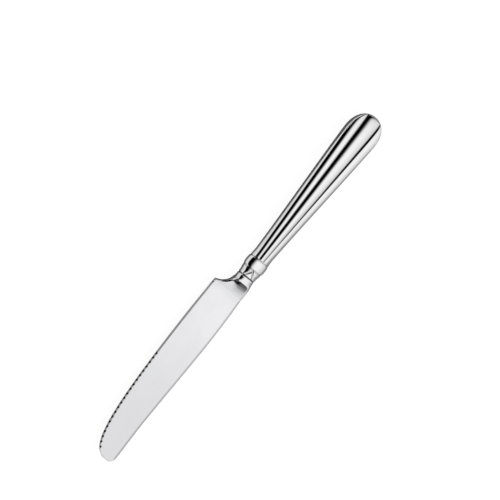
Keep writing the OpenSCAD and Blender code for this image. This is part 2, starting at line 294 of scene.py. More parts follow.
class Nodes:
    """Short calls for building a node tree."""

    def __init__(self, tree):
        self.tree = tree
        self.tree.nodes.clear()

    def add(self, kind, **settings):
        node = self.tree.nodes.new(kind)
        for key, value in settings.items():
            setattr(node, key, value)
        return node

    def link(self, source, target):
        self.tree.links.new(source, target)

    def put(self, value, socket):
        if isinstance(value, bpy.types.NodeSocket):
            self.link(value, socket)
        else:
            socket.default_value = value

    def math(self, operation, a, b=0.0, clamp=False):
        node = self.add("ShaderNodeMath", operation=operation, use_clamp=clamp)
        self.put(a, node.inputs[0])
        self.put(b, node.inputs[1])
        return node.outputs[0]

    def vector_math(self, operation, a, b=None):
        node = self.add("ShaderNodeVectorMath", operation=operation)
        self.link(a, node.inputs[0])
        if b is not None:
            self.put(b, node.inputs[1])
        return node.outputs["Value" if operation == "DOT_PRODUCT" else "Vector"]

    def span(self, value, from_lo, from_hi, to_lo=0.0, to_hi=1.0, style="LINEAR"):
        node = self.add("ShaderNodeMapRange", interpolation_type=style)
        for socket, number in zip(node.inputs, (value, from_lo, from_hi, to_lo, to_hi)):
            self.put(number, socket)
        return node.outputs[0]

    def ramp(self, value, stops, full, empty=0.0):
        """Brightness by a value that runs from empty to full."""
        node = self.add("ShaderNodeValToRGB")
        node.color_ramp.interpolation = "EASE"
        self.link(self.span(value, empty, full), node.inputs[0])
        elements = node.color_ramp.elements
        while len(elements) < len(stops):
            elements.new(1.0)
        for element, (place, level) in zip(elements, stops):
            element.position = (place - empty) / (full - empty)
            element.color = (level, level, level, 1.0)
        return node.outputs["Color"]

    def noise(self, stretch, detail=3.0, turn=0.0):
        mapping = self.add("ShaderNodeMapping")
        mapping.inputs["Scale"].default_value = stretch
        mapping.inputs["Rotation"].default_value = (0.0, 0.0, turn)
        self.link(self.place(), mapping.inputs["Vector"])
        node = self.add("ShaderNodeTexNoise")
        node.inputs["Scale"].default_value = 1.0
        node.inputs["Detail"].default_value = detail
        self.link(mapping.outputs["Vector"], node.inputs["Vector"])
        return node.outputs["Fac"]

    def place(self):
        return self.add("ShaderNodeTexCoord").outputs["Object"]

    def split(self, vector):
        node = self.add("ShaderNodeSeparateXYZ")
        self.link(vector, node.inputs[0])
        return node.outputs

    def blend(self, factor, a, b):
        node = self.add("ShaderNodeMix", data_type="RGBA")
        self.put(factor, node.inputs["Factor"])
        self.put(a, node.inputs[6])
        self.put(b, node.inputs[7])
        return node.outputs[2]

    def bump(self, height, strength, distance):
        node = self.add("ShaderNodeBump")
        node.inputs["Strength"].default_value = strength
        node.inputs["Distance"].default_value = distance
        self.link(height, node.inputs["Height"])
        return node.outputs[0]


def new_material(name):
    material = bpy.data.materials.new(name)
    material.use_nodes = True
    nodes = Nodes(material.node_tree)
    shader = nodes.add("ShaderNodeBsdfPrincipled")
    output = nodes.add("ShaderNodeOutputMaterial")
    nodes.link(shader.outputs[0], output.inputs["Surface"])
    return material, nodes, shader


# Polished steel: how its noises are stretched, which part of each noise counts, and what it does
SMEAR_STRETCH = (55.0, 130.0, 130.0)
SMEAR_LIMITS = (0.35, 0.7)
SMEAR_TINT = 0.5
SMEAR_ROUGH = 0.35
GRAIN_LIMITS = (0.3, 0.7)
GRAIN_ROUGH = (0.8, 1.2)
HAIR_STRETCH = (45.0, 5200.0, 2600.0)
HAIR_TURN = 0.35
HAIR_LIMITS = (0.7, 0.76)
HAIR_ROUGH = 0.06
HAIR_DEPTH = 0.5
STEEL_BUMP = (0.06, 0.00002)
# Painted shade in the creases, the ring grooves and the ribbon groove: a dark colour where shade falls,
# and a rougher surface there
CREASE_SHADE_COLOUR = (0.17, 0.165, 0.16)
CREASE_SHADE_LIMITS = (0.3, 0.6)
CREASE_SHADE_SHARE = (0.7, 1.0)
CREASE_SHADE_ROUGH = 0.25
# The blade is smoother between the first two places, and between the last two its colour darkens as
# painted shade for the light that falls off towards the tip, with these shares of its roughness and of
# its brightness left
POLISH_AND_SHADE_X = (4.0, 15.0, 90.0)
POLISHED_SHARE = 0.4
TIP_SHADE_SHARE = 0.87


def steel(name, bright, dull, roughness, grain, painted_shade=None, polish_and_shade=None):
    """Polished steel: fine grinding grain, a few hairlines, soft smears, painted shade in the creases,
    and a smoother shoulder with painted shade towards the tip.
    """
    material, nodes, shader = new_material(name)
    shader.inputs["Metallic"].default_value = 1.0
    fine = nodes.noise(grain, detail=4.0)
    smear = nodes.noise(SMEAR_STRETCH, detail=5.0)
    hair = nodes.noise(HAIR_STRETCH, detail=1.0, turn=HAIR_TURN)
    hairline = nodes.span(hair, *HAIR_LIMITS)
    cloudy = nodes.span(smear, *SMEAR_LIMITS, style="SMOOTHSTEP")
    colour = nodes.blend(nodes.math("MULTIPLY", cloudy, SMEAR_TINT), (*bright, 1.0), (*dull, 1.0))
    rough = nodes.span(fine, *GRAIN_LIMITS, *GRAIN_ROUGH)
    rough = nodes.math("ADD", rough, nodes.math("MULTIPLY", cloudy, SMEAR_ROUGH))
    rough = nodes.math("MULTIPLY", rough, roughness)
    # Painted shade: the colour darkens towards the tip, where the light falls off
    if polish_and_shade:
        along = nodes.split(nodes.place())["X"]
        tip_shade = nodes.span(along, *polish_and_shade[1:], style="SMOOTHSTEP")
        colour = nodes.blend(tip_shade, colour, (*(TIP_SHADE_SHARE * c for c in bright), 1.0))
        polish = nodes.span(along, *polish_and_shade[:2], POLISHED_SHARE, 1.0, style="SMOOTHSTEP")
        rough = nodes.math("MULTIPLY", rough, polish)
    rough = nodes.math("ADD", rough, nodes.math("MULTIPLY", hairline, HAIR_ROUGH))
    # Painted shade: the marked creases and grooves get a dark colour
    if painted_shade:
        mark = nodes.add("ShaderNodeAttribute", attribute_name=painted_shade).outputs["Fac"]
        uneven = nodes.span(smear, *CREASE_SHADE_LIMITS, *CREASE_SHADE_SHARE)
        shade_amount = nodes.math("MULTIPLY", mark, uneven, clamp=True)
        colour = nodes.blend(shade_amount, colour, (*CREASE_SHADE_COLOUR, 1.0))
        rough = nodes.math("ADD", rough, nodes.math("MULTIPLY", shade_amount, CREASE_SHADE_ROUGH))
    height = nodes.math("SUBTRACT", fine, nodes.math("MULTIPLY", hairline, HAIR_DEPTH))
    nodes.link(colour, shader.inputs["Base Color"])
    nodes.link(rough, shader.inputs["Roughness"])
    nodes.link(nodes.bump(height, *STEEL_BUMP), shader.inputs["Normal"])
    return material


# Solder, braze and cement: part of the noise that counts, coarseness of the mottle, and what they do
MOTTLE_LIMITS = (0.3, 0.7)
MOTTLE_SCALE = 0.2
MOTTLE_TONE = (0.4, 1.0)
MOTTLE_ROUGH = (0.8, 1.2)
GRAINY_BUMP = 0.4


def grainy(name, light, dark, metallic, roughness, size, relief):
    """A mottled surface with a grain of the given size and relief in metres."""
    material, nodes, shader = new_material(name)
    shader.inputs["Metallic"].default_value = metallic
    grain = nodes.noise((1 / size,) * 3, detail=6.0)
    mottle = nodes.noise((MOTTLE_SCALE / size,) * 3)
    patches = nodes.span(mottle, *MOTTLE_LIMITS, *MOTTLE_TONE)
    tone = nodes.math("MULTIPLY", nodes.span(grain, *MOTTLE_LIMITS), patches)
    rough = nodes.span(mottle, *MOTTLE_LIMITS, *(roughness * share for share in MOTTLE_ROUGH))
    nodes.link(nodes.blend(tone, (*dark, 1.0), (*light, 1.0)), shader.inputs["Base Color"])
    nodes.link(rough, shader.inputs["Roughness"])
    nodes.link(nodes.bump(grain, GRAINY_BUMP, relief), shader.inputs["Normal"])
    return material


blade_steel = steel(
    "blade_steel",
    bright=(0.81, 0.81, 0.83),
    dull=(0.77, 0.77, 0.79),
    roughness=0.16,
    grain=(7000.0, 180.0, 180.0),
    polish_and_shade=[JOINT[0] + x * MM for x in POLISH_AND_SHADE_X],
)
handle_steel = steel(
    "handle_steel",
    bright=(0.85, 0.845, 0.85),
    dull=(0.81, 0.805, 0.81),
    roughness=0.06,
    grain=(160.0, 6000.0, 6000.0),
    painted_shade="crease",
)
solder = grainy(
    "solder",
    light=(0.34, 0.34, 0.34),
    dark=(0.16, 0.16, 0.165),
    metallic=1.0,
    roughness=0.45,
    size=0.0004,
    relief=0.00005,
)
braze = grainy(
    "braze",
    light=(0.72, 0.7, 0.66),
    dark=(0.5, 0.48, 0.44),
    metallic=1.0,
    roughness=0.3,
    size=0.0003,
    relief=0.00002,
)
cement = grainy(
    "cement",
    light=(0.64, 0.58, 0.49),
    dark=(0.42, 0.37, 0.3),
    metallic=0.0,
    roughness=0.9,
    size=0.0012,
    relief=0.0002,
)


# Blade outline and thickness

EDGE_POINTS = 4001


def edge_curve():
    """Cutting edge from the heel round the belly to the tip."""
    t = np.linspace(0, 1, EDGE_POINTS)[:, None]
    a, b, c, d = np.array([
        (EDGE_X, -EDGE_REACH),
        (BLADE_L - BELLY_L, -EDGE_REACH - EDGE_BOW),
        (BLADE_L, TIP_Y - BELLY_H),
        (BLADE_L, TIP_Y),
    ])
    return (1 - t) ** 3 * a + 3 * t * (1 - t) ** 2 * b + 3 * t * t * (1 - t) * c + t**3 * d


EDGE = edge_curve()


def plate_low(x):
    """Outline on the edge side: the notch, the heel's corner and the edge."""
    low = -EDGE_REACH - NOTCH_BELOW
    run = np.clip((x - NOTCH_X) / (NOTCH_END - NOTCH_X), 0, 1)
    notch = low + (-NECK_R - low) * superellipse(run, NOTCH_POWER)
    edge = np.interp(x, EDGE[:, 0], EDGE[:, 1])
    edge = edge + HEEL_RISE * np.exp(np.minimum(0, NOTCH_END - x) / HEEL_RISE_L)
    corner = np.maximum(0, HEEL_SOFT - np.abs(notch - edge)) ** 2 / 4 / HEEL_SOFT
    return np.maximum(notch, edge) + corner


def plate_high(x):
    """Outline on the spine side: up from the neck, over the crest and the dip, and round the tip."""
    back = mix(SPINE_REACH, NECK_R, np.clip((CREST_X - x) / (CREST_X - NOTCH_X), 0, 1) ** 2)
    crest = SPINE_REACH - SPINE_DIP * between(x, (CREST_X, DIP_X))
    dip = SPINE_REACH - SPINE_DIP * between(x, (TIP_X, DIP_X))
    tip = TIP_Y + (SPINE_REACH - TIP_Y) * superellipse(np.clip((x - TIP_X) / TIP_ROUND_L, 0, 1), 2)
    return np.where(x < CREST_X, back, np.where(x < DIP_X, crest, np.where(x < TIP_X, dip, tip)))


def neck_radius(x):
    """Radius of the neck, with its rounded rim at the joint, and 0 beyond the neck."""
    r = mix(NECK_R, COLLAR_R, np.clip(x / NECK_L, 0, 1) ** 2)
    return np.where(x <= NECK_L, r - RIM_R * (1 - rounded(x / RIM_R)), 0)


def neck_z(x, y):
    """Round neck that grows squarer towards the shoulder."""
    r = neck_radius(x)
    power = mix(NECK_POWER, COLLAR_POWER, np.clip(x / NECK_L, 0, 1) ** COLLAR_EASE)
    across = np.minimum(1, np.abs(y) / np.maximum(r, TINY))
    return np.where(x <= NECK_L, r * superellipse(across, power), 0)


def face_z(x, y):
    """Flat face that gets thinner towards the edge and the tip."""
    slope_y = (SPINE_T - EDGE_T) / 2 / (SPINE_REACH + EDGE_REACH)
    slope_x = (SPINE_T - TIP_T) / 2 / (TIP_X - SHOULDER_END)
    return SPINE_T / 2 - slope_x * (x - SHOULDER_END) - slope_y * (SPINE_REACH - y)


def shoulder_z(x, y):
    """Hollow shoulder that rises from the blade's face and turns round towards the neck."""
    length = SHOULDER_END - NECK_L
    rise = COLLAR_R - face_z(x, y)
    radius = (length**2 + rise**2) / 2 / rise
    across = np.clip(NECK_L + length - x, 0, length)
    hollow = radius - np.sqrt(radius**2 - across**2)
    slope = STRAIGHT_FROM / radius
    steep = (rise - slope * (length - STRAIGHT_FROM / 2)) / (length - STRAIGHT_TO) ** 2
    straight = np.minimum(across, STRAIGHT_FROM) ** 2 / 2 / radius
    straight = straight + slope * np.maximum(0, across - STRAIGHT_FROM)
    straight = straight + steep * np.maximum(0, across - STRAIGHT_TO) ** 2
    height = face_z(x, y) + mix(hollow, straight, between(y, STRAIGHT_Y))
    half = np.maximum(np.where(y > 0, plate_high(x), -plate_low(x)), TINY)
    power = COLLAR_POWER * np.exp(np.clip((x - NECK_L) / FLARE_L, 0, FLARE_LIMIT))
    return height * superellipse(np.minimum(1, np.abs(y) / half), power)


def scallop_floor(x, y):
    """Height of the ground scallops over each point, endless where there is none."""
    steps = np.linalg.norm(np.diff(EDGE[::-1], axis=0), axis=1)
    run = np.concatenate([[0], np.cumsum(steps)])
    floor = np.full(x.shape, np.inf)
    for i in range(SCALLOPS):
        k = len(EDGE) - 1 - int(np.searchsorted(run, SCALLOP_START + i * SCALLOP_PITCH))
        here = EDGE[k]
        ahead = EDGE[k + 1] - EDGE[k - 1]
        inward = math.atan2(ahead[1], ahead[0]) + math.pi / 2 + SCALLOP_LEAN
        dx, dy = x - here[0], y - here[1]
        along = dx * math.cos(inward) + dy * math.sin(inward)
        across = np.abs(dy * math.cos(inward) - dx * math.sin(inward))
        low = face_z(*here) - (SCALLOP_DEPTH - along) * math.tan(SCALLOP_RAKE)
        side = 1 - superellipse(np.minimum(1, across / SCALLOP_R), 2)
        bowl = SCALLOP_R / math.cos(SCALLOP_RAKE) * side
        floor = np.where(across < SCALLOP_R, np.minimum(floor, low + bowl), floor)
    return floor


# Stretches of the blade with closer rows of points, and the numbers of rows
NECK_CLOSE = 0.3
SHOULDER_GAP = 0.01
SHOULDER_CLOSE = 0.5
SCALLOPS_X = 50.0
TIP_CLOSE = 2.0
TIP_GAP = 0.0005
RIM_STEPS = 5
NECK_ROWS = 16
TURN_ROWS = 12
SHOULDER_STEPS = 60
HEEL_STEPS = 17
PLAIN_ROWS = 60
SCALLOP_ROWS = 660
TIP_STEPS = 110
# Strips along edge and spine with closer columns: width, most share of the blade, and columns
EDGE_STRIP = (2.4, 0.35, 25)
SPINE_STRIP = (1.2, 0.2, 15)
MIDDLE_COLUMNS = 22
# Distance of the last column from the outline, where the face ends and the wall goes down
WALL_GAP = 0.002
OUTLINE_POINTS = 6000


def blade_stations():
    """Places along the blade, close together where it turns and along the scallops."""
    neck_turn = NECK_L - NECK_CLOSE
    shoulder_turn = NECK_L + SHOULDER_CLOSE
    tip_turn = TIP_X - TIP_CLOSE
    return np.unique(np.concatenate([
        RIM_R * toward_start(RIM_STEPS),
        np.linspace(RIM_R, neck_turn, NECK_ROWS),
        np.linspace(neck_turn, NECK_L, TURN_ROWS),
        np.linspace(NECK_L + SHOULDER_GAP, shoulder_turn, TURN_ROWS),
        mix(shoulder_turn, HEEL_X, toward_end(SHOULDER_STEPS)),
        HEEL_X + HEEL_L * toward_start(HEEL_STEPS),
        np.linspace(EDGE_X, SCALLOPS_X, PLAIN_ROWS),
        np.linspace(SCALLOPS_X, tip_turn, SCALLOP_ROWS),
        mix(tip_turn, BLADE_L - TIP_GAP, toward_end(TIP_STEPS)),
    ]))


def blade_columns(width):
    """Distances across the blade, close together along the edge and along the spine."""

    def strip(wide, share, columns):
        return np.minimum(wide, share * width)[:, None] * np.linspace(0, 1, columns) ** 2

    low = strip(*EDGE_STRIP)
    high = width[:, None] - strip(*SPINE_STRIP)[:, ::-1]
    middle = mix(low[:, -1:], high[:, :1], np.linspace(0, 1, MIDDLE_COLUMNS)[1:-1])
    low[:, 1] = np.minimum(low[:, 1], WALL_GAP)
    high[:, -2] = np.maximum(high[:, -2], width - WALL_GAP)
    return np.concatenate([low, middle, high], axis=1)


def blade_borders(line):
    """Points of the plate's outline, and for each its border and how deep the back is ground off."""
    notch, heel, edge, tip, spine = np.array(
        [NOTCH_BORDER, HEEL_BORDER, EDGE_BORDER, TIP_BORDER, SPINE_BORDER]
    )
    line_low, line_high = plate_low(line), plate_high(line)
    edge_share = between(line, HEEL_TO_EDGE)
    behind = mix(notch, heel, between(line, NOTCH_TO_HEEL)[:, None])
    ahead = mix(edge, tip, between(line_low, EDGE_TO_TIP_Y)[:, None])
    low = mix(behind, ahead, edge_share[:, None])
    high = mix(spine, tip, between(line, SPINE_TO_TIP)[:, None])
    low_back = BACK_DEPTH * edge_share * (1 - between(line, BACK_EASE))
    outline = np.concatenate([np.stack([line, line_low], 1), np.stack([line, line_high], 1)])
    low = np.column_stack([low, low_back])
    high = np.column_stack([high, np.zeros(len(line))])
    return outline, np.concatenate([low, high])


def nearest_outline(outline, x, y):
    """Distance of each point from the outline, and the number of the outline's nearest point."""
    tree = kdtree.KDTree(len(outline))
    for i, (px, py) in enumerate(outline):
        tree.insert((px, py, 0), i)
    tree.balance()
    found = [tree.find((px, py, 0)) for px, py in zip(x.ravel(), y.ravel())]
    away = np.array([distance for _, _, distance in found])
    number = np.array([i for _, i, _ in found])
    return away.reshape(y.shape), number.reshape(y.shape)


def blade_surface():
    """Rows of points over the front and the back of blade, shoulder and neck."""
    x = blade_stations()
    low, high, neck = plate_low(x), plate_high(x), neck_radius(x)
    bottom, top = np.minimum(low, -neck), np.maximum(high, neck)
    y = bottom[:, None] + blade_columns(top - bottom)
    xx = np.broadcast_to(x[:, None], y.shape)
    line = np.unique(np.concatenate([x, np.linspace(NOTCH_X, BLADE_L, OUTLINE_POINTS)]))
    outline, borders = blade_borders(line[line >= NOTCH_X])
    away, nearest = nearest_outline(outline, xx, y)
    reach, depth, form, back_depth = np.moveaxis(borders[nearest], -1, 0)
    face = np.maximum(face_z(xx, y), np.where(xx > NECK_L, shoulder_z(xx, y), 0))
    most = BORDER_SHARE * face
    inside = np.clip(away / reach, 0, 1)
    front_drop = np.minimum(depth, most) * (1 - mix(inside, rounded(inside), form))
    back_drop = np.minimum(back_depth, most) * (1 - np.clip(away / BACK_REACH, 0, 1))
    in_outline = (y > low[:, None]) & (y < high[:, None]) & (xx > NOTCH_X)
    on_plate = in_outline | (xx > NECK_L)
    round_z = neck_z(xx, y)
    front = np.maximum(np.where(on_plate, face - front_drop, 0), round_z)
    back = np.maximum(np.where(on_plate, face - back_drop, 0), round_z)
    front = np.maximum(np.minimum(front, scallop_floor(xx, y)), -EDGE_LEFT * back)
    for side in (front, back):
        side[:, 0] = 0
        side[:, -1] = 0
    return xx, y, front, -back


def blade_shell():
    """Closed mesh of blade, shoulder and neck: front and back share their outer points."""
    x, y, front, back = blade_surface()
    rows, cols = x.shape
    points = np.concatenate([np.stack([x, y, z], -1).reshape(-1, 3) for z in (front, back)])
    faces = grid_faces(rows, cols, turn=True) + grid_faces(rows, cols, first=rows * cols)
    upper = np.arange(rows * cols).reshape(rows, cols)
    lower = upper + rows * cols
    merged = lower.copy()
    merged[:, 0], merged[:, -1] = upper[:, 0], upper[:, -1]
    shared = np.concatenate([upper.ravel(), merged.ravel()])
    faces = [shared[f] for f in faces]
    faces.append(np.concatenate([upper[0], lower[0, -2:0:-1]]))
    faces.append(np.concatenate([upper[-1, ::-1], lower[-1, 1:-1]]))
    used = np.unique(np.concatenate(faces))
    place = np.full(len(points), -1)
    place[used] = np.arange(len(used))
    return points[used].tolist(), [place[f].tolist() for f in faces]


def make_blade():
    points, faces = blade_shell()
    turns = np.linspace(0, 2 * math.pi, SPIGOT_TURNS, endpoint=False)
    spigot = [
        [(x, SPIGOT_R * math.cos(a), SPIGOT_R * math.sin(a)) for a in turns]
        for x in (-SPIGOT_L, -BAR_GAP)
    ]
    half, half_end = TANG_W / 2, TANG_END_W / 2
    root, bend = -SPIGOT_L - BAR_GAP, TANG_POINT - TANG_L
    outline = [(-TANG_L, half_end), (-TANG_L, -half_end), (bend, -half)]
    outline += [(root, -half), (root, half), (bend, half)]
    tang = [[(x, y, z) for x, y in outline] for z in (-TANG_T / 2, TANG_T / 2)]
    for start, end in (spigot, tang):
        more_points, more_faces = bar(start, end, len(points))
        points += more_points
        faces += more_faces
    add_piece("blade_ground", points, faces, blade_steel, "blade")


# Handle sections, at the distance s behind the joint

# Points across a section: up the side, over the flank, over the side reed's crest and the middle reed
SIDE_T = np.linspace(0, 1, 5)[:-1]
FLANK_T = np.linspace(0, 1, 19)[:-1]
CREST_T = toward_end(34)
MID_T = toward_both(56)[1:-1]
# Rows along the handle
ORNAMENT_ROWS = 150
REED_ROWS = 150
DOME_STEPS = 60


def waist_to_butt(s):
    return (s - WAIST_S) / (WIDEST_S - WAIST_S)


def taper(s):
    t = np.clip(waist_to_butt(s), 0, 1)
    return mix(t, smooth(t), TAPER_EASE)


def half_size(s, knop, waist, widest):
    front = mix(NECK_R, knop / 2, between(s, TO_KNOP))
    back = mix(knop / 2, waist / 2, between(s, TO_WAIST))
    return np.where(s < KNOP_S, front, np.where(s < WAIST_S, back, mix(waist, widest, taper(s)) / 2))


def wall_drop(beside, reach):
    """How far a side reed goes down towards its crease, by the distance beside the crease."""
    soft = WALL_SOFT * np.maximum(reach, WALL_LEAST)
    inside = np.clip((reach - beside) / soft, -EXP_LIMIT, EXP_LIMIT)
    return WALL_SLOPE * soft * np.log1p(np.exp(inside))


def section_shape(s, inset):
    """Measures of the front half of the sections: half sizes, creases, and the arcs of the reeds."""
    half_w = half_size(s, KNOP_W, WAIST_W, HANDLE_W) - inset
    half_t = half_size(s, KNOP_T, WAIST_T, HANDLE_T) - inset
    share = np.clip(waist_to_butt(s), 0, 1)
    start = between(s, CREASE_RUN)
    crease_y = mix(REED_W_WAIST, REED_W_BUTT, waist_to_butt(s)) / 2
    crease_z = half_t * np.sqrt(1 - (crease_y / half_w) ** 2)
    crease_z = crease_z - start * mix(CREASE_WAIST, CREASE_BUTT, share)
    sink = half_t - crease_z
    reach = start * mix(*WALL_REACH, share)
    crest_r = mix((half_w + half_t) / 2, mix(*CREST_R, share), start)
    crest_off = mix(-crease_y, mix(*CREST_OFF, share), start)
    lean = np.arcsin(crest_off / crest_r)
    crest_z = crease_z + wall_drop(0, reach) - crest_r * np.cos(lean)
    flank_y = crease_y + crest_off + crest_r * math.sin(FLANK_TILT)
    flank_z = crest_z + crest_r * math.cos(FLANK_TILT)
    flank_w = half_w - flank_y
    upright = flank_w / (1 - math.sin(FLANK_TILT))
    side_z = np.maximum(SIDE_LEAST, flank_z - upright * math.cos(FLANK_TILT))
    chord = np.arctan2(flank_z - side_z, flank_w)
    return SimpleNamespace(
        half_w=half_w,
        half_t=half_t,
        crease_y=crease_y,
        bend=((REED_SLOPE * crease_y) ** 2 - sink**2) / 2 / sink,
        reach=reach,
        crest_r=crest_r,
        crest_y=crease_y + crest_off,
        crest_z=crest_z,
        lean=lean,
        flank_y=flank_y,
        flank_z=flank_z,
        flank_r=np.hypot(flank_z - side_z, flank_w) / 2 / np.sin(chord - FLANK_TILT),
        foot_tilt=2 * chord - FLANK_TILT,
        side_z=side_z,
    )


def section_height(side, shape):
    """Height of the section at a distance from its middle."""
    slope = np.clip(math.sin(FLANK_TILT) + (side - shape.flank_y) / shape.flank_r, -1, 1)
    flank = shape.flank_z - shape.flank_r * (math.cos(FLANK_TILT) - np.sqrt(1 - slope**2))
    crest = shape.crest_z + np.sqrt(np.maximum(0, shape.crest_r**2 - (side - shape.crest_y) ** 2))
    reed = np.where(side > shape.flank_y, flank, crest) - wall_drop(side - shape.crease_y, shape.reach)
    middle = shape.half_t + shape.bend - np.hypot(shape.bend, REED_SLOPE * side)
    return np.maximum(0, np.where(side > shape.crease_y - ROUNDING, reed, middle))


def section(s, inset):
    """Rows of points over the front half of the sections, from the spine side over the top."""
    s = s[:, None]
    shape = section_shape(s, inset)
    upright = np.repeat(shape.half_w, len(SIDE_T), axis=1)
    tilt = mix(shape.foot_tilt, FLANK_TILT, FLANK_T)
    flank = shape.flank_y + shape.flank_r * (np.sin(tilt) - math.sin(FLANK_TILT))
    crest = shape.crest_y + shape.crest_r * np.sin(mix(FLANK_TILT, -shape.lean, CREST_T))
    side = np.concatenate([upright, np.minimum(shape.half_w, flank), crest], axis=1)
    y = np.concatenate([side, shape.crease_y * (1 - 2 * MID_T), -side[:, ::-1]], axis=1)
    across = np.minimum(1, np.abs(y) / shape.half_w)
    power = mix(NECK_POWER, KNOP_POWER + KNOP_SQUARER * across**2, between(s, TO_KNOP))
    plain = shape.half_t * superellipse(across, power)
    z = mix(plain, section_height(np.abs(y), shape), between(s, CREASE_RUN))
    return y, np.maximum(shape.side_z, z), shape


def upright_sides(z, top):
    """Puts the first and last points of each row one above the other, up to the foot of the flank."""
    z = z.copy()
    z[:, : len(SIDE_T)] = mix(SEAM_Z, top, SIDE_T)
    z[:, -len(SIDE_T) :] = mix(SEAM_Z, top, SIDE_T)[:, ::-1]
    return z


def dome(t, s, inset):
    """Rows over the domed butt, where the creases run on and outline and crown round off."""
    y, _, shape = section(s, inset)
    t = t[:, None]
    wide = shape.half_w * superellipse(t, DOME_POWER)
    crease = np.minimum(shape.crease_y, REED_SHARE * wide)
    side = np.abs(y)
    inside = side * crease / shape.crease_y
    outside = crease + (side - shape.crease_y) * (wide - crease) / (shape.half_w - shape.crease_y)
    side = np.where(side > shape.crease_y, outside, inside)
    end = np.maximum(superellipse(side / shape.half_w, DOME_POWER), TINY)
    crown = superellipse(np.minimum(1, t / end), CROWN_POWER)
    foot = shape.side_z * superellipse(t, DOME_POWER)
    height = foot + (section_height(side, shape) - shape.side_z) * crown
    return np.sign(y) * side, upright_sides(height, foot), crease, crown


def handle_stations():
    """Distances behind the joint up to the butt's dome, close together over the ornament."""
    return np.unique(np.concatenate([
        MOUTH_S + RIM_R * toward_start(RIM_STEPS),
        np.linspace(MOUTH_S + RIM_R, CREASE_FULL, ORNAMENT_ROWS),
        np.linspace(CREASE_FULL, WIDEST_S, REED_ROWS),
    ]))


def carved(s, y, z):
    """Sections with the mouth's rim, the ribbon and the rings cut in, and the painted shade in them."""
    s = s[:, None]
    across = np.hypot(y, z)
    rim = RIM_R * (1 - rounded((s - MOUTH_S) / RIM_R))
    run = across * np.arctan2(np.abs(y), z)
    (s0, q0), (s1, q1) = RIBBON_FROM, RIBBON_TO
    length = math.hypot(s1 - s0, q1 - q0)
    ds, dq = (s1 - s0) / length, (q1 - q0) / length
    along = np.clip((s - s0) * ds + (run - q0) * dq, 0, length)
    gap = np.hypot(s - s0 - along * ds, run - q0 - along * dq)
    ribbon = ease(1 - gap / RIBBON_W)
    rings = [(depth, np.exp(-(((s - place) / width) ** 2))) for place, width, depth in RINGS]
    cut = rim + RIBBON_DEPTH * ribbon + sum(depth * ring for depth, ring in rings)
    keep = 1 - cut / np.maximum(across, TINY)
    mark = np.maximum(RIBBON_SHADE * ribbon, RING_SHADE * sum(ring for _, ring in rings))
    return y * keep, z * keep, mark


def crease_shade_mark(beside, share):
    """Painted shade in the creases."""
    return mix(*CREASE_SHADE, share) * ease(1 - np.abs(beside) / CREASE_SHADE_REACH)


def handle_skin(inset):
    """Rows of points over the front half of the handle, and the painted shade at each point."""
    body_s = handle_stations()
    t = toward_end(DOME_STEPS)[1:-1]
    dome_s = WIDEST_S + t * (DOME_L - inset)
    y, z, shape = section(body_s, inset)
    z = upright_sides(z, shape.side_z)
    dome_y, dome_z, dome_crease, crown = dome(t, dome_s, inset)
    mark = np.zeros_like(y)
    dome_mark = np.zeros_like(dome_y)
    if inset == 0:
        creased = (body_s > CREASE_START)[:, None]
        mark = creased * crease_shade_mark(np.abs(y) - shape.crease_y, taper(body_s)[:, None])
        y, z, carving = carved(body_s, y, z)
        mark = np.maximum(mark, carving)
        dome_mark = crown * crease_shade_mark(np.abs(dome_y) - dome_crease, 1.0)
    s = np.concatenate([body_s, dome_s])
    y, z = np.concatenate([y, dome_y]), np.maximum(np.concatenate([z, dome_z]), SEAM_Z)
    points = np.stack([np.broadcast_to(-s[:, None], y.shape), y, z], -1)
    return points, np.concatenate([mark, dome_mark])


outer, outer_mark = handle_skin(0.0)
inner, inner_mark = handle_skin(WALL)


def make_half(name, node, side):
    """Hollow half of the handle, in front for side 1 and behind for side -1."""
    rows, cols = outer.shape[:2]
    count = rows * cols
    ends = np.array([[-HANDLE_L, 0, SEAM_Z], [WALL - HANDLE_L, 0, SEAM_Z]])
    points = np.concatenate([outer.reshape(-1, 3), inner.reshape(-1, 3), ends])
    out_no = np.arange(count).reshape(rows, cols)
    in_no = out_no + count
    out_end, in_end = 2 * count, 2 * count + 1
    faces = grid_faces(rows, cols, turn=True) + grid_faces(rows, cols, first=count)
    faces += strip_faces(out_no[0].tolist(), in_no[0].tolist())
    faces += strip_faces(in_no[:, 0].tolist() + [in_end], out_no[:, 0].tolist() + [out_end])
    faces += strip_faces(out_no[:, -1].tolist() + [out_end], in_no[:, -1].tolist() + [in_end])
    last_out, last_in = out_no[-1].tolist(), in_no[-1].tolist()
    faces += [[last_out[i + 1], last_out[i], out_end] for i in range(cols - 1)]
    faces += [[last_in[i], last_in[i + 1], in_end] for i in range(cols - 1)]
    if side < 0:
        points = points * np.array([1, 1, -1])
        faces = [f[::-1] for f in faces]
    # The crease values carry the painted shade of creases, rings and ribbon
    marks = np.concatenate([outer_mark.ravel(), inner_mark.ravel(), [0, 0]])
    add_piece(name, points, faces, handle_steel, node, values={"crease": marks})


